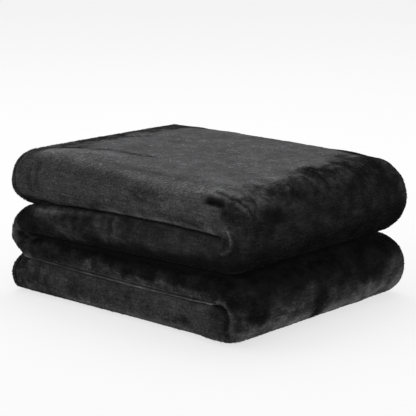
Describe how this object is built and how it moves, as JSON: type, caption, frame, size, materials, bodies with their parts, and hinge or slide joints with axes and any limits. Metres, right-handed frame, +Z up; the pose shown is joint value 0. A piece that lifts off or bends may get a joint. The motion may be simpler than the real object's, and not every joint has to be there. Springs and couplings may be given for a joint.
{
  "type": "throw blanket",
  "caption": "Plush throw blanket folded lengthwise into a strip and then back and forth into a soft, low block.",
  "frame": {"origin": "middle of the folded block's footprint, on the surface that it lies on", "axes": "+X along the longer side of the block, towards the two round folds that face right in the picture; +Y from the side that shows the layers to the back; +Z up"},
  "size_m": [0.316, 0.2583, 0.1443],
  "materials": {
    "plush": "soft brushed pile, black to charcoal"
  },
  "bodies": {
    "root": {"blanket": "plush"}
  },
  "joints": []
}
